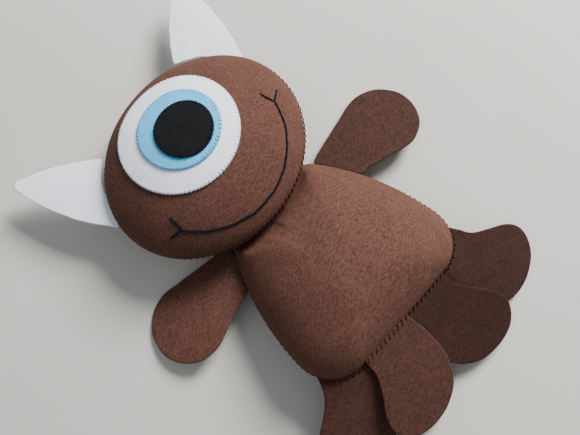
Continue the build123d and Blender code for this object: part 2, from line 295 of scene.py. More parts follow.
# %% [markdown]
# ## Padding
#
# A stuffed felt panel is a dome: it rises steeply at the seam and is nearly flat in the middle. The
# dome gives the cloth simulation its start. Then air pressure blows the panel up a little while its
# edge is held, as stuffing presses a panel out against its seam, and the felt settles into an even
# curve. How far a point may move is capped, so that the padding keeps the size that was designed.

# %% Dome and pressure
DOME_POWER = 0.575  # how squarely the padding fills its panel
PADDING_RINGS = 30
SLACK = 0.965  # height of a panel before it is blown up
PUFF_FRAMES = 20
PUFF_CAP = 0.05  # how far the pressure may move a point, as a share of the panel's height
FACE_HEIGHT, BACK_DEPTH, BELLY_HEIGHT = 30 * MM, 26 * MM, 31 * MM


def ring_shares(count):
    """Shares of the radius that space the rings evenly over a dome."""
    return [math.cos(math.pi / 2 * k / count) for k in range(1, count)]


def puff(piece, held, cap):
    """Blows a panel up with cloth pressure while its held corners stay where they are."""
    start = points_of(piece)
    group = piece.vertex_groups.new(name="held")
    group.add([int(k) for k in np.flatnonzero(held)], 1.0, "REPLACE")
    pick(piece)
    cloth = piece.modifiers.new("Cloth", "CLOTH")
    cloth.settings.vertex_group_mass = "held"
    cloth.settings.mass = 0.003
    cloth.settings.use_pressure = True
    cloth.settings.uniform_pressure_force = 4.0
    cloth.settings.effector_weights.gravity = 0.0
    cloth.settings.tension_stiffness = 15.0
    cloth.settings.compression_stiffness = 15.0
    cloth.settings.bending_stiffness = 1.0
    cloth.settings.quality = 6
    cloth.collision_settings.use_collision = False
    for step in range(1, PUFF_FRAMES + 1):
        bpy.context.scene.frame_set(step)
    bpy.ops.object.modifier_apply(modifier=cloth.name)
    bpy.context.scene.frame_set(1)
    moved = points_of(piece) - start
    far = np.linalg.norm(moved, axis=1)
    ratio = cap / (cap + far)
    move_points(piece, start + moved * ratio[:, None])
    piece.vertex_groups.clear()
    print(f"{piece.name} moved by up to {far.max() / MM:.1f} mm, softly capped at {cap / MM:.1f} mm")


def dome(name, bench, outline, centre, height, side, stitches):
    """A stuffed panel on one side of a seam, before its stitches draw it in."""
    panel = ringed_disc(name, stitches * 4, ring_shares(PADDING_RINGS))
    flat, out = spread(panel, outline, centre)
    rise = SLACK * height * np.power(np.clip(1 - out**2, 0, 1), DOME_POWER)
    move_points(panel, bench.place(np.column_stack([flat, side * rise])))
    face_up(panel, side * bench.out)
    puff(panel, out > AT_EDGE, height * PUFF_CAP)
    return panel


HEAD_MIDDLE = np.zeros(2)  # the head's outline is laid round the middle of its bench
head = head_bench, head_outline, HEAD_MIDDLE
head_pad = dome("head_padding", *head, FACE_HEIGHT, 1, HEAD_STITCHES)
head_back = dome("head_back", *head, BACK_DEPTH, -1, HEAD_STITCHES)
body_pad = dome("body_padding", body_bench, body_outline, BELLY, BELLY_HEIGHT, 1, BODY_STITCHES)

# %% [markdown]
# ## Closing the head
#
# The two panels of the head meet at their seam. Joining them and merging the corners they share gives
# one closed, stuffed form.


# %% Join the head's panels
def join(pieces, name):
    """Joins pieces into the first one."""
    pick(pieces[0])
    for piece in pieces[1:]:
        piece.select_set(True)
    bpy.ops.object.join()
    pieces[0].name = name
    return pieces[0]


def merge(piece, gap=0.02 * MM):
    """Merges the corners that two joined panels share."""
    pick(piece)
    bpy.ops.object.mode_set(mode="EDIT")
    bpy.ops.mesh.select_all(action="SELECT")
    bpy.ops.mesh.remove_doubles(threshold=gap)
    bpy.ops.mesh.normals_make_consistent(inside=False)
    bpy.ops.object.mode_set(mode="OBJECT")


join([head_pad, head_back], "head_padding")
merge(head_pad)
print("the head is one closed form of", len(head_pad.data.polygons), "faces")

# %% [markdown]
# ## Room for the head
#
# The head lies on the top of the body, and presses it down. It also nods and tilts, so the body has to
# keep clear of it. The head is simple enough to ask how far a point is inside it, so the body's points
# are let down towards the table, a little at a time, until they are outside it in the four poses listed
# below, or as low as they may go.

# %% Press the body down
NECK_PIVOT = np.array(joints["head_nod"]["pos_m"])
PRESS_STEP = 0.25 * MM
HEAD_PRESSES = (  # nod and tilt in degrees, and the gap that is kept in that pose
    (0, 0, 1.0 * MM), (5, 8, 1.0 * MM), (5, -8, 0.7 * MM), (5, 0, 0.7 * MM),
)
print("the neck turns about", np.round(NECK_PIVOT / MM, 1), "mm")


def turned(points, axis, degrees):
    """Points turned about an axis through the neck."""
    turning = np.array(Matrix.Rotation(math.radians(degrees), 3, Vector(axis)))
    return (points - NECK_PIVOT) @ turning.T + NECK_PIVOT


def in_head(points, gap):
    """Whether points are inside the resting head or within a gap of it."""
    place = head_bench.read(points)
    far = np.sqrt((place[:, :2] ** 2 / (HEAD_HALF + gap) ** 2).sum(axis=1))
    height = np.where(place[:, 2] > 0, FACE_HEIGHT, BACK_DEPTH) + gap
    limit = height * np.power(np.clip(1 - far**2, 0, 1), DOME_POWER)
    return (far < 1) & (np.abs(place[:, 2]) < limit)


def press(points, spare, lowest):
    """Lets points down until the head clears them by its gap and some to spare."""
    points = points.copy()
    near = points[:, 1] > 10 * MM
    for _ in range(120):
        inside = np.zeros(len(points), bool)
        for nod, tilt, gap in HEAD_PRESSES:
            back = turned(points[near], (1, 0, 0), -nod)
            back = turned(back, head_bench.out, -tilt)
            inside[near] |= in_head(back, gap + spare)
        inside &= points[:, 2] > lowest
        if not inside.any():
            break
        points[inside, 2] -= PRESS_STEP
    return points


# %% [markdown]
# Pressing point by point leaves a jagged edge. Felt can't follow that, so what was pushed down is spread
# out over its neighbours, which rounds the edge of the dent.


# %% Soften
def smooth_step(x):
    """Goes from 0 to 1 with level ends."""
    x = np.clip(x, 0, 1)
    return x * x * (3 - 2 * x)


def neighbours(piece):
    """The two ends of every edge of a mesh."""
    edges = np.empty(len(piece.data.edges) * 2, int)
    piece.data.edges.foreach_get("vertices", edges)
    return edges.reshape(-1, 2).T


def spread_out(piece, values, rounds):
    """Softens values on a mesh's corners: each one moves towards the mean of its neighbours."""
    a, b = neighbours(piece)
    count = np.bincount(a, minlength=len(values)) + np.bincount(b, minlength=len(values))
    count = count.reshape(-1, *[1] * (values.ndim - 1))
    for _ in range(rounds):
        total = np.zeros_like(values)
        np.add.at(total, a, values[b])
        np.add.at(total, b, values[a])
        values = (values + total / count) / 2
    return values


def even_out(piece, rounds, where):
    """Softens a mesh's shape at some of its corners."""
    points = points_of(piece)
    points[where] = spread_out(piece, points, rounds)[where]
    move_points(piece, points)


# %% [markdown]
# ## The body
#
# The belly is closed by a flat lining, which is the front wall of the pocket for the hand. The padding
# is the dome with a flat floor, and the lining is a separate sheet under it.

# %% Close the body's padding
body_floor = ringed_disc("body_floor", BODY_STITCHES * 4, ring_shares(PADDING_RINGS))
flat, out = spread(body_floor, body_outline, BELLY)
move_points(body_floor, body_bench.place(np.column_stack([flat, np.zeros(len(flat))])))
join([body_pad, body_floor], "body_padding")
merge(body_pad)
place = body_bench.read(points_of(body_pad))
is_floor = place[:, 2] < 0.01 * MM  # nothing of the dome is as low as this
points = points_of(body_pad)
LOWEST_BELLY, LOWEST_FLOOR, LOWEST_LINING = 5.6 * MM, 4.6 * MM, 3.6 * MM  # layers at the neck
points[is_floor] = press(points[is_floor], 2.0 * MM, LOWEST_FLOOR)
pushed = press(points, 0.0, LOWEST_BELLY)[:, 2] - points[:, 2]
pushed[is_floor] = 0
softer = np.minimum(pushed, spread_out(body_pad, pushed, 14) * 1.2)
softer = np.minimum(pushed, spread_out(body_pad, softer, 3))
softer *= smooth_step(place[:, 2] / (3 * MM))
points[~is_floor, 2] += np.minimum(pushed, softer)[~is_floor]
pressed = pushed < 0
move_points(body_pad, points)
print("the head presses on", int(pressed.sum()), "corners of the body's padding")

LINING_RINGS = [0.985, 0.96, 0.9, 0.8, 0.65, 0.5, 0.35, 0.2]
lining = ringed_disc("pocket_lining_felt", BODY_STITCHES * 2, LINING_RINGS)
flat, out = spread(lining, body_outline, BELLY)
points = body_bench.place(np.column_stack([flat, np.full(len(flat), -(0.1 * MM + FELT))]))
move_points(lining, press(points, 3.2 * MM, LOWEST_LINING))
face_up(lining, -body_bench.out)
use(lining, "SOLIDIFY", thickness=FELT, offset=-1.0)
print("the lining is", np.round(np.ptp(body_outline, axis=0) / MM, 1), "mm")

# %% [markdown]
# ## The back panel and the hand's way in
#
# The back of the body is a shallow tub of felt. Its flat floor lies on the table and its wall rises to
# the seam. At the hem the wall is left open between two points, and there the panel ends in a free edge
# near the table. That makes the mouth of the pocket. Each column of the disc gets its own top, so the
# edge swings down from the seam and up again in one smooth line.

# %% Back panel
ENTRY_HALF = 45 * MM  # half the width of the pocket's mouth
TUB_FLOOR = 0.72  # how wide the tub's floor is, as a share of its outline
FLOOR_RINGS = 0.5  # the share of the disc's rings that make the floor; the others make the wall
WALL_RINGS = 1 - FLOOR_RINGS

back_panel = ringed_disc("back_panel_felt", BODY_STITCHES * 2, [1 - k / 24 for k in range(1, 24)])
flat, out = spread(back_panel, body_outline, np.zeros(2))
edge = flat / np.maximum(out, 1e-9)[:, None]
open_side = smooth_step((-edge[:, 1] - 34 * MM) / (14 * MM))
open_side *= smooth_step((ENTRY_HALF - np.abs(edge[:, 0])) / (9 * MM) + 0.5)
seam_height = body_bench.place(np.column_stack([edge, np.full(len(edge), -0.2 * MM - FELT)]))[:, 2]
climb = np.clip((out - FLOOR_RINGS) / WALL_RINGS, 0, 1) * (1 - 0.97 * open_side)
angle = climb * math.pi / 2
is_flat = out < FLOOR_RINGS
bulge = np.sin(angle) ** 0.8
share = np.where(is_flat, out / FLOOR_RINGS * TUB_FLOOR, TUB_FLOOR + (1 - TUB_FLOOR) * bulge)
height = np.where(is_flat, 0, seam_height * (1 - np.cos(angle)) ** 0.9)
lip = 0.8 * MM * smooth_step((out - 0.6) / 0.4)  # the free edge is lifted off the table
height = np.where(open_side > 0.5, height + lip, height)
top = body_bench.place(np.column_stack([edge, np.zeros(len(edge))]))
points = np.column_stack([top[:, 0] * share, top[:, 1] * share, height + 0.05 * MM])
move_points(back_panel, press(points, 3.4 * MM, 0.05 * MM))
face_up(back_panel, (0, 0, -1))
use(back_panel, "SOLIDIFY", thickness=FELT * 0.9, offset=-1.0)
print("the back panel is", len(back_panel.data.polygons), "faces")

# %% [markdown]
# ## Puckers
#
# Thread draws the felt in where each stitch crosses the seam, and the felt swells between two stitches.
# The columns of the padding are as far apart as a quarter of a stitch, so a wave with one crest for each
# stitch fits them. It fades out a few millimetres from the seam.


# %% Pucker the seams
def pucker(piece, bench, outline, centre, stitches, depth, reach, where=None):
    """Draws a padded piece in at each stitch of its seam."""
    place = bench.read(points_of(piece))
    edge = even_steps(outline, stitches * 12) - centre
    angle = np.arctan2(edge[:, 1], edge[:, 0]) % FULL_TURN
    order = np.argsort(angle)
    here = np.arctan2(place[:, 1] - centre[1], place[:, 0] - centre[0]) % FULL_TURN
    run = np.interp(here, angle[order], order.astype(float), period=FULL_TURN)
    radius = np.interp(here, angle[order], np.linalg.norm(edge[order], axis=1), period=FULL_TURN)
    flat = place[:, :2] - centre
    gap = np.hypot(radius - np.linalg.norm(flat, axis=1), place[:, 2])
    fade = np.exp(-((gap / reach) ** 2))
    wave = 0.5 + 0.5 * np.cos(FULL_TURN * run / 12)
    pull = depth * fade * wave
    if where is not None:
        pull = pull * where(place)
    place[:, :2] -= flat / np.maximum(np.linalg.norm(flat, axis=1), 1e-9)[:, None] * pull[:, None]
    move_points(piece, bench.place(place))


PUCKER, PUCKER_REACH = 0.55 * MM, 3.2 * MM
pucker(head_pad, *head, HEAD_STITCHES, PUCKER, PUCKER_REACH)
pucker(body_pad, body_bench, body_outline, BELLY, BODY_STITCHES, PUCKER, PUCKER_REACH,
       where=lambda place: smooth_step((42 * MM - place[:, 1]) / (6 * MM)))
print("a pucker at each of", HEAD_STITCHES + BODY_STITCHES, "stitches")

# %% [markdown]
# Stuffing is never even. A few broad, shallow swells, the same on every run, keep the big curved
# surfaces from looking machined.


# %% Lumps
def swell(piece, size, depth, seed):
    """Moves a piece's surface out and in by a smooth noise, along its own normals."""
    rng = random.Random(seed)
    points = points_of(piece)
    normals = np.empty(len(points) * 3)
    piece.data.vertices.foreach_get("normal", normals)
    lift = np.zeros(len(points))
    for _ in range(9):
        way = Vector([rng.gauss(0, 1) for _ in range(3)]).normalized()
        wave = FULL_TURN / (size * rng.uniform(0.8, 1.9))
        lift += np.sin(points @ np.array(way) * wave + rng.uniform(0, 6.3)) / 9
    move_points(piece, points + normals.reshape(-1, 3) * (lift * depth)[:, None])


swell(head_pad, 45 * MM, 0.9 * MM, 4)
before = points_of(body_pad)
swell(body_pad, 42 * MM, 1.1 * MM, 7)
calm = smooth_step((30 * MM - before[:, 1]) / (15 * MM))[:, None] * ~is_floor[:, None]
move_points(body_pad, before + (points_of(body_pad) - before) * calm)
print("swells on head and body")

# %% [markdown]
# ## Felt flaps
#
# Horns, arms and feet are single pieces of felt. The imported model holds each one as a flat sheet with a
# hinge at its seam. The sheet gives the pattern's outline and its plane. The flap made here has the
# same outline with a root that runs on into the seam, a slight cup, and rounded cut edges. The feet lie
# on each other, so they all follow one shared wave and keep their distance.


# %% Flap helper
def flap_bench(node, joint):
    """The plane of a flat limb: it starts at the hinge, and points out of the seam."""
    points = node_points(node)
    middle = points.mean(axis=0)
    thin = np.linalg.svd(points - middle, full_matrices=False)[2][2]
    normal = thin if thin[2] > 0 else -thin
    hinge = np.array(joints[joint]["pos_m"])
    right = np.cross(np.cross(normal, joints[joint]["axis"]), normal)
    if np.cross(normal, right) @ (middle - hinge) < 0:
        right = -right
    return Bench(hinge, right, normal)


def shared_wave(points):
    """A gentle wave in the height of whatever lies at a place."""
    x, y = points[:, 0], points[:, 1]
    return 0.7 * MM * np.sin(x / (17 * MM) + 0.6) * np.cos(y / (21 * MM) + 0.3)


def smooth_line(outline, rounds):
    """Takes the corners off a closed line of even steps."""
    for _ in range(rounds):
        outline = (outline * 2 + np.roll(outline, 1, axis=0) + np.roll(outline, -1, axis=0)) / 4
    return outline


FLAP_COLUMNS = 160
FLAP_RINGS = [0.985, 0.95, 0.88, 0.78, 0.66, 0.52, 0.38, 0.22]
RAGGED = 0.25 * MM  # how far a hand-cut edge strays from its line


def flap(name, node, tuck, cup, wave, seed):
    """One felt limb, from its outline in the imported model."""
    bench = flap_bench(node, node + "_flap")
    place = bench.read(node_points(node))[:, :2]
    centre = (place.min(axis=0) + place.max(axis=0)) / 2
    outline = smooth_line(even_steps(sorted_round(place, centre), FLAP_COLUMNS), 3)
    rng = random.Random(seed)
    phases = [rng.uniform(0, 6.3) for _ in range(3)]
    walk = np.linspace(0, FULL_TURN, len(outline), endpoint=False)
    ragged = sum(np.sin(walk * n + p) for n, p in zip((5, 9, 14), phases)) / 3
    way = outline - centre
    outline = outline + way / np.linalg.norm(way, axis=1)[:, None] * (RAGGED * ragged)[:, None]
    outline[:, 1] -= tuck * smooth_step((4 * MM - outline[:, 1]) / (4 * MM))
    piece = ringed_disc(name, FLAP_COLUMNS, FLAP_RINGS)
    flat, out = spread(piece, outline, centre)
    length = outline[:, 1].max()
    along = np.clip(flat[:, 1] / length, 0, 1)
    width = np.ptp(outline[:, 0]) / 2
    across = (flat[:, 0] - centre[0]) / width
    rise = cup * smooth_step(along * 1.6) * (0.45 - across**2) + 0.3 * cup * np.sin(along * math.pi)
    points = bench.place(np.column_stack([flat, rise]))
    points[:, 2] += wave * shared_wave(points) * smooth_step(along * 3)
    move_points(piece, points)
    face_up(piece, bench.out)
    thicken(piece, out, FELT, 0.0, rim=1)
    print(f"{name}: {width * 2 / MM:.0f} by {length / MM:.0f} mm of felt")
    return piece, bench, tuple(float(v) for v in np.ptp(outline, axis=0)), area_of(outline)


FLAPS = (  # node, tuck and cup in mm, share of the wave, parent body, felt
    ("left_horn", 3.4, 1.6, 0.0, "head", "white"),
    ("right_horn", 3.4, 1.6, 0.0, "head", "white"),
    ("left_arm", 3.4, 1.5, 0.4, "body", "brown"),
    ("right_arm", 3.4, 1.8, 0.4, "body", "brown"),
    ("left_inner_foot", 3.6, 0.0, 1.0, "body", "brown"),
    ("right_inner_foot", 3.6, 0.0, 1.0, "body", "brown"),
    ("left_outer_foot", 3.6, 0.0, 1.0, "body", "brown"),
    ("right_outer_foot", 3.6, 0.0, 1.0, "body", "brown"),
)
flaps = {}
for seed, (node, tuck, cup, wave, _, _) in enumerate(FLAPS):
    flaps[node] = flap(node + "_felt", node, tuck * MM, cup * MM, wave, seed)

# %% [markdown]
# The outer feet are sewn in under the inner ones, so their flat sheets start a few millimetres below the
# seam. Past the edge of the inner foot nothing fills that gap, and real felt bends up there to where the
# thread holds it. So the roots of the outer feet are brought up under the lining at the hem's corners.


# %% Bring up the outer roots
ROOT_HEIGHT = -2.3 * MM  # the middle of the felt, seen from the body's seam
ROOT_REACH = 17 * MM  # how far down the foot the bend goes
BARE_FROM, BARE_TO = 32 * MM, 39 * MM  # where the inner foot stops hiding the root


def bring_up(piece, bench):
    """Bends a foot's root up to the seam, more and more towards the hem's corner."""
    points = points_of(piece)
    local = bench.read(points)
    root = np.column_stack([local[:, 0], np.minimum(local[:, 1], 0), np.zeros(len(local))])
    low = body_bench.read(bench.place(root))[:, 2]
    share = smooth_step((np.abs(points[:, 0]) - BARE_FROM) / (BARE_TO - BARE_FROM))
    share *= 1 - smooth_step(local[:, 1] / ROOT_REACH)
    move_points(piece, points + body_bench.out * ((ROOT_HEIGHT - low) * share)[:, None])


for node in ("left_outer_foot", "right_outer_foot"):
    bring_up(*flaps[node][:2])
print("the outer feet's roots lie under the lining")

# %% [markdown]
# ## Discs on the face
#
# The eye is three discs of felt laid on the face, one on the other. Felt is limp enough to follow the
# dome, so each disc is a flat ringed disc let down on what is under it: a line straight down from each
# corner finds the surface. Stitches round its edge draw the edge in a little, which gives it scallops.


# %% Lay felt on the face
def surface_of(piece):
    """A piece's surface, ready to be asked where a line meets it."""
    return BVHTree.FromObject(piece, bpy.context.evaluated_depsgraph_get())


def lay(surface, bench, flat):
    """Where points on the plane come down on a surface, and the surface's normal there."""
    hits, normals = [], []
    start = bench.place(np.column_stack([flat, np.full(len(flat), 90 * MM)]))
    for point in start:
        hit, normal, _, _ = surface.ray_cast(Vector(point), Vector(-bench.out))
        if hit is None:
            hit, normal, _, _ = surface.find_nearest(Vector(point))
        hits.append(hit)
        normals.append(normal)
    return np.array(hits), np.array(normals)


DISC_RINGS = [0.99, 0.975, 0.95, 0.92, 0.86, 0.78, 0.68, 0.57, 0.45, 0.33, 0.2, 0.1]
EYE_FELT = 1.25 * MM  # the eye's felt is pressed a little by its stitches
SCALLOP = 0.28 * MM


def face_disc(name, surface, centre, radius, stitches):
    """A round piece of felt that lies on the face, with an edge drawn in by stitches."""
    piece = ringed_disc(name, stitches * 4, DISC_RINGS)
    turn, out = on_disc(piece)
    angle = FULL_TURN * turn
    scallop = SCALLOP * np.cos(angle * stitches) * (out > 0.9)
    reach = out * radius + scallop * (out - 0.9) / 0.1
    flat = np.column_stack([centre[0] + reach * np.cos(angle), centre[1] + reach * np.sin(angle)])
    hits, _ = lay(surface, head_bench, flat)
    move_points(piece, hits + head_bench.out * 0.05 * MM)
    face_up(piece, head_bench.out)
    even_out(piece, 2, out < 0.999)
    thicken(piece, out, EYE_FELT, 1.0)
    print(f"{name} is a disc {radius * 2 / MM:.0f} mm across")
    return piece


EYE = {  # centre on the head's plane and radius, in mm, and stitches round it
    "eye_white": ((-2.0, 12.0), 37.8, 95),
    "eye_iris": ((-0.2, 11.1), 25.5, 64),
    "eye_pupil": ((0.8, 7.4), 17.8, 44),
}
face = surface_of(head_pad)
eye, under = {}, face
for name, (centre, radius, stitches) in EYE.items():
    eye[name] = face_disc(name + "_felt", under, np.array(centre) * MM, radius * MM, stitches)
    under = surface_of(eye[name])

# %% [markdown]
# ## One stitch, many times
#
# A whip stitch is a short length of thread that comes up through the felt, goes over an edge and down
# again. It is modelled once, as a curve with a round section, and turned into a mesh. Each row is made
# of copies of it, set down along the seam with small differences in slant and size, and joined.


# %% Thread and rows
def thread(name, lines, radius, sides=6, order=3):
    """Lengths of thread along smooth lines, as one mesh."""
    curve = bpy.data.curves.new(name, "CURVE")
    curve.dimensions = "3D"
    curve.bevel_depth = radius
    curve.bevel_resolution = max(0, sides // 2 - 2)
    curve.resolution_u = 3
    curve.use_fill_caps = True
    for line in lines:
        spline = curve.splines.new("NURBS")
        spline.points.add(len(line) - 1)
        for knot, point in zip(spline.points, line):
            knot.co = (*point, 1.0)
        spline.order_u = order
        spline.use_endpoint_u = True
    piece = bpy.data.objects.new(name, curve)
    bpy.context.scene.collection.objects.link(piece)
    pick(piece)
    bpy.ops.object.convert(target="MESH")
    bpy.ops.object.shade_smooth()
    return bpy.context.object


# %% [markdown]
# No two hand-sewn stitches are the same, so each copy is turned and scaled a little, by random numbers
# that are the same on every run. The seams' outlines are walked in equal steps, one for each stitch.


# %% Rows of stitches
def sew(name, stitch, places, seed):
    """A row of stitches: copies of one, each set down at (origin, along, out) and joined."""
    rng = random.Random(seed)
    copies = []
    for origin, along, out in places:
        along = Vector(along).normalized()
        out = (Vector(out) - Vector(out).dot(along) * along).normalized()
        up = along.cross(out)
        setting = Matrix((along, out, up)).transposed().to_4x4()
        setting.translation = Vector(origin)
        slant = Matrix.Rotation(rng.uniform(-0.12, 0.12), 4, "Y")
        size = Matrix.Scale(rng.uniform(0.92, 1.08), 4)
        copy = stitch.copy()
        copy.data = stitch.data.copy()
        copy.data.transform(setting @ slant @ size)
        bpy.context.scene.collection.objects.link(copy)
        copies.append(copy)
    row = join(copies, name)
    print(f"{name}: {len(places)} stitches")
    return row


def seam_places(bench, outline, centre, stitches, where=lambda point: True):
    """Where the whip stitches of a seam go: on the outline, with the way along it and out of it."""
    fine = even_steps(outline, stitches * 12)
    places = []
    for k in range(stitches):
        at, ahead, behind = fine[12 * k], fine[(12 * k + 4) % len(fine)], fine[12 * k - 4]
        if not where(at):
            continue
        along = ahead - behind
        out = np.array([along[1], -along[0]])
        if out @ (at - centre) < 0:
            out = -out
        way = bench.place([[*along, 0]])[0] - bench.origin
        out = bench.place([[*out, 0]])[0] - bench.origin
        places.append((bench.place([[*at, 0]])[0], -way, out))
    return places


# %% [markdown]
# A whip stitch goes over the edge of the seam: up on one side, across, and down on the other. The head's
# seam is sewn all the way round. The body's is sewn that way at its sides, where no foot is in the way.

# %% Whip stitches
THREAD_R = 0.38 * MM


def mm(*points):
    """Points typed in millimetres, in metres."""
    return [tuple(value * MM for value in point) for point in points]


whip = thread(
    "whip_stitch",
    [mm((-0.9, -1.5, 2.4), (-0.8, -0.6, 2.5), (-0.4, -0.12, 1.2), (0, -0.02, 0), (0.4, -0.12, -1.2),
        (0.8, -0.6, -2.5), (0.9, -1.5, -2.4))],
    THREAD_R,
)
head_seam = sew("head_seam_thread", whip, seam_places(*head, HEAD_STITCHES), 11)


def on_side(point):
    """Whether a place on the body's seam is sewn as a side, with no foot in it."""
    return -50 * MM < point[1] < 39 * MM and (point[1] > -34 * MM or abs(point[0]) > 58 * MM)


def on_hem(point):
    """Whether a place on the body's seam is on the hem, over the feet."""
    return point[1] <= 39 * MM and not on_side(point)


side_seam = sew("side_seam_thread", whip,
                seam_places(body_bench, body_outline, BELLY, BODY_STITCHES, on_side), 12)

# %% [markdown]
# Over the feet the stitches can't go round an edge, because the feet are in the way. They come out of
# the belly and go down into the felt of the feet, on a slant, and lie on top.

# %% Hem
def hem_lines(feet):
    """The line of each hem stitch, from the belly down to the foot that is under it."""
    lines = []
    for origin, along, out in seam_places(body_bench, body_outline, BELLY, BODY_STITCHES, on_hem):
        along, out = along / np.linalg.norm(along), out / np.linalg.norm(out)
        over = origin + along * 1.2 * MM + out * 2.1 * MM + body_bench.out * 30 * MM
        hits = [foot.ray_cast(Vector(over), Vector(-body_bench.out))[0] for foot in feet]
        heights = [float(body_bench.read([np.array(hit)])[0][2]) / MM for hit in hits if hit is not None]
        down = max(heights, default=-1.5)
        up = max(down + 1.5, 2.2)
        route = ((-1.1, -1.3, up), (-1.0, -0.45, up + 0.5), (-0.1, 0.55, (up + down) / 2 + 0.7),
                 (0.9, 1.5, down + 0.6), (1.2, 2.2, down - 0.4))
        lines.append([origin + MM * (x * along + y * out + z * body_bench.out) for x, y, z in route])
    return lines


feet = [surface_of(flaps[node][0]) for node in flaps if "foot" in node]
hem_seam = thread("hem_thread", hem_lines(feet), THREAD_R)
print("the hem is sewn down with", len(hem_seam.data.polygons), "faces of thread")

# %% [markdown]
# The stitches round the eye are finer. They come up through the face beside the disc, climb its cut
# edge, and go down into it again. The thread matches the felt, so what shows is mostly a row of dimples.

# %% Eye stitches
EYE_THREAD_R = 0.26 * MM
disc_stitch = thread(
    "disc_stitch",
    [mm((0, 0.3, 0), (0, 0.28, 0.8), (0, -0.1, 1.45), (0, -1, 1.5), (0.15, -1.7, 1.3),
        (0.2, -1.8, 0.8))],
    EYE_THREAD_R,
)


def disc_places(surface, centre, radius, stitches):
    """Where the stitches round a disc go, seen from the surface under its edge."""
    turn = np.linspace(0, FULL_TURN, stitches, endpoint=False) + math.pi / stitches
    flat = centre + radius * np.column_stack([np.cos(turn), np.sin(turn)])
    hits, normals = lay(surface, head_bench, flat)
    along = np.column_stack([-np.sin(turn), np.cos(turn), np.zeros(stitches)])
    along = head_bench.place(along) - head_bench.origin
    places = []
    for hit, normal, way in zip(hits, normals, along):
        way = way - normal * (way @ normal)
        places.append((hit, -way, np.cross(way, normal)))
    return places


rows, under = {}, face
for name, (centre, radius, stitches) in EYE.items():
    places = disc_places(under, np.array(centre) * MM, radius * MM, stitches)
    rows[name] = sew(name + "_thread", disc_stitch, places, 20)
    under = surface_of(eye[name])

# %% [markdown]
# ## The smile
#
# The smile is sewn in back stitch with a dark thread of two plies. A back stitch is a row of short
# lengths that meet end to end, each dipping into the felt at its ends. Two strands that turn round each
# other make the plies show. Each corner ends in a fork of two single stitches.

# %% Embroider the smile
MOUTH_HALF, MOUTH_CORNER, MOUTH_LOW, FORK = 47.5, -23.0, -53.5, 9.5  # in mm on the head's plane
PLY_R = 0.46 * MM
PLY_SWING = 0.36 * MM  # how far a strand's middle is from the thread's
PLY_TURN = 3.0 * MM  # the length in which the strands go once round each other


def arc_through(a, b, c, steps):
    """Points on the circle through three points, from the first to the last."""
    a, b, c = (complex(*p) for p in (a, b, c))
    w = (c - a) / (b - a)
    middle = (b - a) * (w - abs(w) ** 2) / (2j * w.imag) + a
    low, high = np.angle(a - middle), np.angle(c - middle)
    at = np.linspace(low, high, steps)
    round_it = middle + abs(a - middle) * np.exp(1j * at)
    return np.column_stack([round_it.real, round_it.imag])


def plies(start, end, bend, steps=13):
    """The two strands of one stitch over the face, from start to end on the head's plane."""
    share = np.linspace(0, 1, steps)
    flat = start + (end - start) * share[:, None]
    side = np.array([-(end - start)[1], (end - start)[0]])
    side = side / np.linalg.norm(side)
    flat = flat + side * (bend * 4 * share * (1 - share))[:, None]
    hits, normals = lay(face, head_bench, flat)
    along = hits[-1] - hits[0]
    along = along / np.linalg.norm(along)
    dip = 0.55 * MM * np.power(np.clip(4 * share * (1 - share), 0, 1), 0.5) - 0.25 * MM
    turns = np.linalg.norm(hits[-1] - hits[0]) / PLY_TURN
    lines = []
    for phase in (0, math.pi):
        angle = FULL_TURN * turns * share + phase
        across = np.cross(normals, along)
        lines.append(hits + normals * (dip + PLY_SWING * np.sin(angle))[:, None]
                     + across * (PLY_SWING * np.cos(angle))[:, None])
    return lines


smile = arc_through((-MOUTH_HALF, MOUTH_CORNER), (0, MOUTH_LOW), (MOUTH_HALF, MOUTH_CORNER), 26) * MM
wobble = random.Random(31)
strays = [[wobble.uniform(-0.2, 0.2), wobble.uniform(-0.3, 0.3)] for _ in smile[1:-1]]
smile[1:-1] += np.array(strays) * MM
strands = []
for start, end in zip(smile[:-1], smile[1:]):
    strands += plies(start, end, 0.0)
for side in (-1, 1):
    corner = np.array([side * MOUTH_HALF, MOUTH_CORNER]) * MM
    up_tip = corner + np.array([-side * 1.5, FORK]) * MM
    out_tip = corner + np.array([side * FORK * 0.85, FORK * 0.45]) * MM
    strands += plies(corner, up_tip, side * 0.5 * MM) + plies(corner, out_tip, 0.0)
mouth = thread("smile_thread", strands, PLY_R, sides=8)
print("the smile has", len(strands) // 2, "stitches")

# %% [markdown]
# Five stitches hidden under the chin hold the head to the body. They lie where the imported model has
# them, and turn with the neck.

# %% Neck stitches
neck_path = mm((0, -1.3, 0), (0.2, -0.4, 0.35), (-0.2, 0.4, 0.35), (0, 1.3, 0))
neck_stitch = thread("neck_stitch", [neck_path], 0.5 * MM)
low, high = (np.array(corner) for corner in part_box("neck_stitches"))
neck_places = []
for k in range(5):
    x = low[0] + 0.6 * MM + (high[0] - low[0] - 1.2 * MM) * k / 4
    neck_places.append(((x, (low[1] + high[1]) / 2, (low[2] + high[2]) / 2), (1, 0, 0), (0, 1, 0)))
neck_row = sew("neck_thread", neck_stitch, neck_places, 14)

for pattern in (whip, disc_stitch, neck_stitch):
    bpy.data.objects.remove(pattern)

# %% [markdown]
# ## Shader maths
#
# A felt surface is worked out from a few noises. Written with Blender's nodes one by one that would be
# long, so a small class stands for a socket, and arithmetic on it adds the Math nodes.


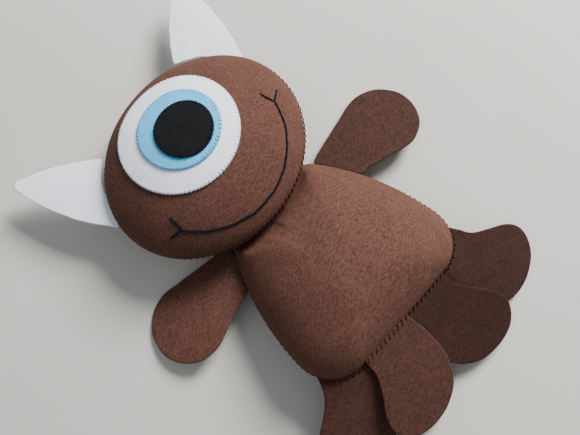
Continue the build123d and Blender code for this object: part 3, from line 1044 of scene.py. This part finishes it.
# %% Shader helper
class Wire:
    """A socket of a material that can be worked with as a number."""

    def __init__(self, felt, socket):
        self.felt, self.socket = felt, socket

    def _maths(self, operation, a, b=None):
        values = {0: a} if b is None else {0: a, 1: b}
        return self.felt.node("ShaderNodeMath", {"operation": operation}, values)

    def __add__(self, other): return self._maths("ADD", self, other)
    def __radd__(self, other): return self._maths("ADD", other, self)
    def __sub__(self, other): return self._maths("SUBTRACT", self, other)
    def __rsub__(self, other): return self._maths("SUBTRACT", other, self)
    def __mul__(self, other): return self._maths("MULTIPLY", self, other)
    def __rmul__(self, other): return self._maths("MULTIPLY", other, self)


class Finish:
    """A material under construction."""

    def __init__(self, name):
        self.material = bpy.data.materials.new(name)
        self.material.use_nodes = True
        self.tree = self.material.node_tree
        self.shader = self.tree.nodes["Principled BSDF"]
        self.places = Wire(self, self.tree.nodes.new("ShaderNodeTexCoord").outputs["Object"])

    def node(self, kind, settings=None, sockets=None, out=0):
        """Adds one node: its settings first, then the values or links of its sockets."""
        node = self.tree.nodes.new(kind)
        for name, value in (settings or {}).items():
            setattr(node, name, value)
        for key, value in (sockets or {}).items():
            self.feed(node.inputs[key], value)
        return Wire(self, node.outputs[out])

    def feed(self, socket, value):
        """Links a wire to a socket or sets a plain value on it."""
        if isinstance(value, Wire):
            self.tree.links.new(value.socket, socket)
        else:
            socket.default_value = value

    def stretched(self, turn, stretch):
        """Object coordinates turned about Z and stretched."""
        sockets = {"Vector": self.places, "Rotation": (0, 0, math.radians(turn)), "Scale": stretch}
        return self.node("ShaderNodeMapping", None, sockets)

    def noise(self, scale, detail, roughness, places=None, distortion=0.0):
        """A noise from 0 to 1 on object coordinates."""
        sockets = {"Vector": places or self.places, "Scale": scale, "Detail": detail,
                   "Roughness": roughness, "Distortion": distortion}
        return self.node("ShaderNodeTexNoise", None, sockets)

    def mix(self, factor, a, b, blend="MIX"):
        """Two colours mixed."""
        settings = {"data_type": "RGBA", "blend_type": blend}
        return self.node("ShaderNodeMix", settings, {0: factor, 6: a, 7: b}, out=2)

    def ramp(self, value, low, high):
        """Stretches a value so that low becomes 0 and high becomes 1."""
        sockets = {"Value": value, "From Min": low, "From Max": high}
        return self.node("ShaderNodeMapRange", {"clamp": True}, sockets)


def colour(red, green, blue):
    """A colour as it is seen on a screen, from 0 to 255, as the light that a shader works with."""
    parts = [value / 255 for value in (red, green, blue)]
    return tuple(v / 12.92 if v <= 0.04045 else ((v + 0.055) / 1.055) ** 2.4 for v in parts) + (1.0,)


# %% [markdown]
# ## Felt
#
# Craft felt is a mat of fine fibres, most of them lying along the roll. It is matt with a soft sheen,
# and its colour is heathered: light and dark fibres run through it, it is a little uneven over a few
# centimetres, and worn spots catch the light. Fine stretched noises make the fibres. They go into the
# colour and, more strongly, into the bump.


# %% Felt finish
def felt_finish(name, dark, middle, light, turn, fibre=1.0, patch=0.45, sheen=0.16):
    """Felt with its fibres lying in one direction: all of its fibre and patches at 1, none at 0."""
    felt = Finish(name)
    lying = felt.noise(1700.0, 4.0, 0.65, felt.stretched(turn, (0.22, 1.3, 0.9)), 0.5)
    crossing = felt.noise(1900.0, 3.0, 0.6, felt.stretched(turn + 62, (0.4, 1.3, 0.9)), 0.8)
    specks = felt.noise(2600.0, 2.0, 0.7)
    cloud = felt.noise(45.0, 4.0, 0.6, None, 0.4)
    mat = lying * 0.5 + crossing * 0.25 + specks * 0.25
    base = felt.mix(felt.ramp(mat, 0.42, 0.58), dark, light)
    base = felt.mix(1.0 - 0.7 * fibre, base, middle)
    worn = felt.ramp(cloud, 0.35, 0.72) * (0.3 * patch)
    base = felt.mix(worn, base, light)
    shade = felt.ramp(felt.noise(75.0, 3.0, 0.6), 0.5, 0.8) * (0.35 * patch)
    base = felt.mix(shade, base, dark)
    felt.feed(felt.shader.inputs["Base Color"], base)
    felt.feed(felt.shader.inputs["Roughness"], 0.98 - mat * 0.16)
    felt.shader.inputs["Sheen Weight"].default_value = sheen
    felt.shader.inputs["Sheen Tint"].default_value = light
    felt.shader.inputs["Sheen Roughness"].default_value = 0.55
    felt.shader.inputs["Specular IOR Level"].default_value = 0.15
    sockets = {"Strength": 0.75, "Distance": 0.45 * MM, "Height": mat + cloud * 0.15}
    felt.feed(felt.shader.inputs["Normal"], felt.node("ShaderNodeBump", None, sockets))
    return felt.material


def thread_finish(name, dark, light):
    """Cotton thread: fine fibres, and a slight gleam."""
    yarn = Finish(name)
    fibres = yarn.noise(2600.0, 3.0, 0.6, yarn.stretched(35, (1.0, 0.35, 0.7)))
    yarn.feed(yarn.shader.inputs["Base Color"], yarn.mix(yarn.ramp(fibres, 0.35, 0.65), dark, light))
    yarn.feed(yarn.shader.inputs["Roughness"], 0.9 - fibres * 0.25)
    yarn.shader.inputs["Specular IOR Level"].default_value = 0.1
    sockets = {"Strength": 0.6, "Distance": 0.15 * MM, "Height": fibres}
    yarn.feed(yarn.shader.inputs["Normal"], yarn.node("ShaderNodeBump", None, sockets))
    return yarn.material


# %% [markdown]
# The colours are a dark, a middle and a light tone of each felt. The head and the limbs have a share of
# their light taken off: that is painted shade, most on the right arm and the right foot. Cut edges are
# lighter, partly from the fibres that stand on end there and partly as a painted highlight.

# %% Palette
BROWN = (colour(34, 19, 15), colour(73, 44, 36), colour(116, 80, 68))


def brown_with_painted_shade(share):
    """The brown felt's three colours with a share of their light taken off: painted shade, for parts that
    lie in shade.
    """
    return tuple(tuple(part * (1 - share) for part in tone[:3]) + (1.0,) for tone in BROWN)


# The felt on the cut edges is lighter than the brown. Part of that is fibre ends standing on the cut, and
# part is a painted highlight where the edge catches the light.
CUT_EDGE_LIT = (colour(66, 41, 32), colour(104, 70, 58), colour(142, 104, 90))
WHITE = (colour(208, 215, 231), colour(232, 239, 252), colour(247, 250, 255))
BLUE = (colour(40, 138, 196), colour(78, 176, 228), colour(120, 206, 244))
BLACK = (colour(2, 3, 4), colour(7, 8, 9), colour(26, 29, 32))
# Painted shade: the head and the limbs use the brown with a share of its light taken off. It is a tenth
# on the head, little on the left arm, about half on the right arm, a third on the left foot and two
# thirds on the right foot.
felts = {
    "head": felt_finish("head_felt", *brown_with_painted_shade(0.1), turn=60),
    "belly": felt_finish("belly_felt", *BROWN, turn=100),
    "lining": felt_finish("lining_felt", *BROWN, turn=10),
    "left_arm": felt_finish("left_arm_felt", *brown_with_painted_shade(0.08), turn=25),
    "right_arm": felt_finish("right_arm_felt", *brown_with_painted_shade(0.52), turn=40),
    "left_foot": felt_finish("left_foot_felt_painted_shade", *brown_with_painted_shade(0.35), turn=-20),
    "right_foot": felt_finish("right_foot_felt_painted_shade", *brown_with_painted_shade(0.66), turn=15),
    "cut": felt_finish("cut_edge_painted_highlight", *CUT_EDGE_LIT, turn=0),
    "white": felt_finish("white_felt", *WHITE, turn=30, fibre=0.9, patch=0.4),
    "blue": felt_finish("blue_felt", *BLUE, turn=70, fibre=0.8, patch=0.5),
    "black": felt_finish("black_felt", *BLACK, turn=15, patch=0.5, sheen=0.0),
}
threads = {
    "brown": thread_finish("brown_thread", colour(42, 24, 19), colour(94, 60, 49)),
    "white": thread_finish("white_thread", colour(196, 202, 214), colour(234, 238, 246)),
    "blue": thread_finish("blue_thread", colour(50, 140, 196), colour(104, 192, 236)),
    "black": thread_finish("black_thread", colour(5, 6, 14), colour(24, 26, 44)),
}
print(len(felts), "felts and", len(threads), "threads")


def finish(piece, *materials):
    """Gives a piece its materials, the second one for its cut edges."""
    piece.data.materials.clear()
    for material in materials:
        piece.data.materials.append(material)


# %% [markdown]
# ## What rides on what
#
# Every piece is given its finish, and the CAD nodes it stands for are hidden. All but the felt flaps ride
# on the body they move with; the flaps are fixed where they were made, and don't turn with their hinges.

# %% Assemble
finish(head_pad, felts["head"])
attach(head_pad, "head")
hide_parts("head_front_panel", "head_back_panel", "head_stuffing")

finish(body_pad, felts["belly"])
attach(body_pad, "body")
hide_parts("body_front_panel", "body_stuffing")

finish(lining, felts["lining"])
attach(lining, "body")
body_area = area_of(body_outline)
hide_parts("pocket_lining")

finish(back_panel, felts["belly"])
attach(back_panel, "body")
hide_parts("body_back_panel")

BEND = 9 * MM  # a length along a flap from its hinge
for node, _, _, _, parent, felt in FLAPS:
    piece, bench, size, area = flaps[node]
    if felt == "white":
        finish(piece, felts["white"], felts["white"])
    else:  # the inner and outer feet of a side share one felt
        finish(piece, felts[node.replace("_inner", "").replace("_outer", "")], felts["cut"])
    start, end = bench.place([[0, -0.5 * MM, 0], [0, BEND, 0]])
    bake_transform(piece)
    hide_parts(node)

for name, felt in (("eye_white", "white"), ("eye_iris", "blue"), ("eye_pupil", "black")):
    finish(eye[name], felts[felt])
    finish(rows[name], threads[felt])
    for piece, kind in ((eye[name], "_felt"), (rows[name], "_thread")):
        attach(piece, "head")
        felt + kind
    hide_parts(name)
    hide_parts(name + "_stitches")

for piece, body, kind, node in (
    (head_seam, "head", "brown", "head_seam_stitching"),
    (side_seam, "body", "brown", "side_seam_stitching"),
    (hem_seam, "body", "brown", "front_hem_stitching"),
    (neck_row, "neck", "brown", "neck_stitches"),
    (mouth, "head", "black", "mouth_embroidery"),
):
    finish(piece, threads[kind])
    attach(piece, body)
    kind + "_thread"
    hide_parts(node)

# %% [markdown]
# ## Floor, light and camera
#
# The puppet lies on a pale floor. A large soft light from the right gives the shading its direction, a
# weaker one opposite keeps the shadows open, and the pale surroundings fill in the rest. The camera
# looks down almost from above, a little turned.

# %% Floor
deselect()
bpy.ops.mesh.primitive_plane_add(size=6.0, location=(0, 0, 0))
floor = bpy.context.object
floor.name = "floor"
floor.data.transform(Matrix.Translation((0, 0, min(cad_box[0][2], 0) - 0.3 * MM)))
paper = Finish("pale_floor")
grey = paper.mix(paper.noise(6.0, 3.0, 0.5), colour(184, 183, 177), colour(197, 196, 191))
paper.feed(paper.shader.inputs["Base Color"], grey)
paper.shader.inputs["Roughness"].default_value = 0.95
finish(floor, paper.material)
print("a floor", round(floor.dimensions.x), "m wide")

# %% Light
world = bpy.data.worlds.new("studio")
world.use_nodes = True
sky = world.node_tree.nodes["Background"].inputs
sky["Color"].default_value = (0.93, 0.96, 1.0, 1.0)
sky["Strength"].default_value = 0.36
bpy.context.scene.world = world

PUPPET = Vector((0, 0.036, 0.025))


def lamp(name, place, power, size, tint):
    """A soft square light that looks at the puppet."""
    light = bpy.data.lights.new(name, "AREA")
    light.energy, light.size, light.color = power, size, tint
    holder = bpy.data.objects.new(name, light)
    holder.location = place
    holder.rotation_euler = (PUPPET - Vector(place)).to_track_quat("-Z", "Y").to_euler()
    bpy.context.scene.collection.objects.link(holder)


lamp("key", (1.0, 0.18, 0.8), 44.0, 0.5, (1.0, 0.985, 0.96))
lamp("fill", (-0.9, 0.5, 1.2), 3.0, 1.2, (0.95, 0.97, 1.0))
print("two lamps and a pale sky")

# %% Camera
AZIMUTH, ELEVATION, DISTANCE = math.radians(-48), math.radians(80), 353.3 * MM
WIDE = math.radians(54)  # how wide the camera sees
SENSOR = 36.0
level = math.cos(ELEVATION)
back = Vector((math.sin(AZIMUTH) * level, -math.cos(AZIMUTH) * level, math.sin(ELEVATION)))
lens = bpy.data.cameras.new("camera")
lens.sensor_width = SENSOR
lens.lens = SENSOR / 2 / math.tan(WIDE / 2)
lens.clip_start = 0.01
camera = bpy.data.objects.new("camera", lens)
camera.location = PUPPET + back * DISTANCE
camera.rotation_euler = back.to_track_quat("Z", "Y").to_euler()
bpy.context.scene.collection.objects.link(camera)
bpy.context.scene.camera = camera
print("the camera is", round(DISTANCE / MM), "mm away")
